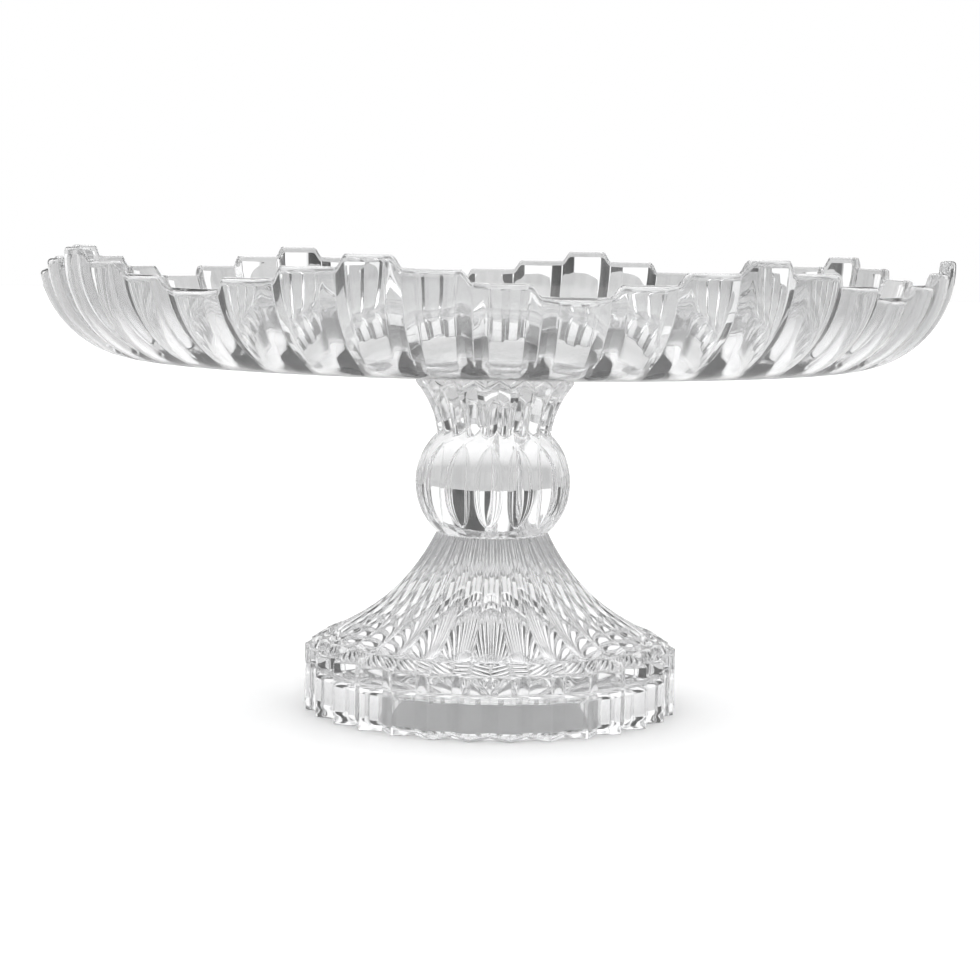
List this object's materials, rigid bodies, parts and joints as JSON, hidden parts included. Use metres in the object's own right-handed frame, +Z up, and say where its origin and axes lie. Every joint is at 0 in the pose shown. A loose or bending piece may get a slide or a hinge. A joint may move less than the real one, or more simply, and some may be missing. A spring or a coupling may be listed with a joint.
{
  "type": "cake stand",
  "caption": "Round clear pressed-glass cake stand: ribbed dish with a stepped wavy rim on a fluted trumpet foot with a ball knop.",
  "frame": {"origin": "on the table under the middle of the foot", "axes": "+Z up along the stand's axis; one of the eight peaks of the rim faces -Y"},
  "size_m": [0.305, 0.305, 0.1548],
  "materials": {
    "clear_glass": "fire-polished, clear and glossy",
    "clear_adhesive": "clear, glossy cured film"
  },
  "bodies": {
    "root": {"plate": "clear_glass", "bond_film": "clear_adhesive", "pedestal": "clear_glass"}
  },
  "joints": []
}
